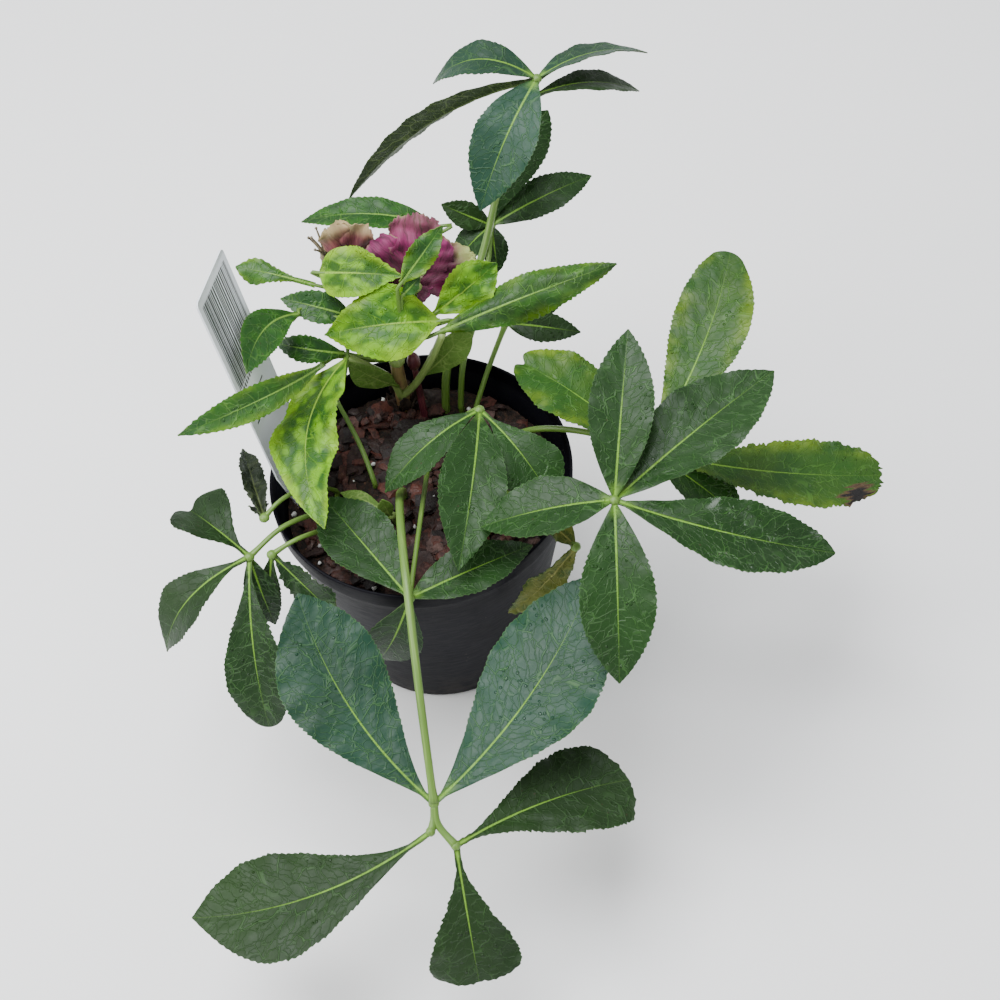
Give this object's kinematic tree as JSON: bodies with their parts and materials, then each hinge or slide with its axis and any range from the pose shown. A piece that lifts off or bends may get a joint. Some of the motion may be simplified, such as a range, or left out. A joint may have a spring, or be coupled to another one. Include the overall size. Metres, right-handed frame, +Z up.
{
  "type": "hellebore plant in pot",
  "caption": "Potted hellebore with hand-shaped toothed leaves on long stalks, a bracted flower stem with nodding plum blooms, bark mulch, a plain pot and a stick-in label.",
  "frame": {"origin": "centre of the pot's flat base, on the surface it stands on", "axes": "+Z up along the pot's axis, -Y towards the front of the plant, where the longest leaf reaches"},
  "size_m": [0.4014, 0.4515, 0.3],
  "materials": {
    "pot_plastic": "charcoal moulded plastic, slightly shiny lip",
    "bark": "rough red-brown pine bark on dark compost",
    "label_plastic": null,
    "leaf_teal": "leathery blue-green leaf with pale veins",
    "leaf_green": "leathery dark green leaf with pale veins",
    "leaf_lime": "leathery yellow-green leaf with pale veins",
    "leaf_old": "dark crumpled old leaf",
    "leaf_dying": "yellow-brown dying leaf",
    "bract": "lime bracts with darker mottling",
    "sepal_plum": "plum sepals with fine veins",
    "sepal_dusty": "faded dusty pink sepals",
    "dried": "dry brown stamens and stalk"
  },
  "bodies": {
    "root": {"pot": "pot_plastic", "bark_soil": "bark", "plant_label": "label_plastic", "leaf_front": "leaf_teal", "leaf_right": "leaf_green", "leaf_right_low": "leaf_lime", "leaf_top": "leaf_teal", "leaf_back": "leaf_green", "leaf_back_small": "leaf_green", "leaf_centre": "leaf_green", "leaf_rim": "leaf_green", "leaf_left": "leaf_green", "leaf_left_low": "leaf_green", "leaf_old": "leaf_old", "leaf_yellow": "leaf_dying", "flower_stem": "bract", "bloom_front": "sepal_plum", "bloom_back": "sepal_dusty", "bloom_dried": "dried", "dry_stalk": "dried", "young_shoot": "bract"}
  },
  "joints": []
}
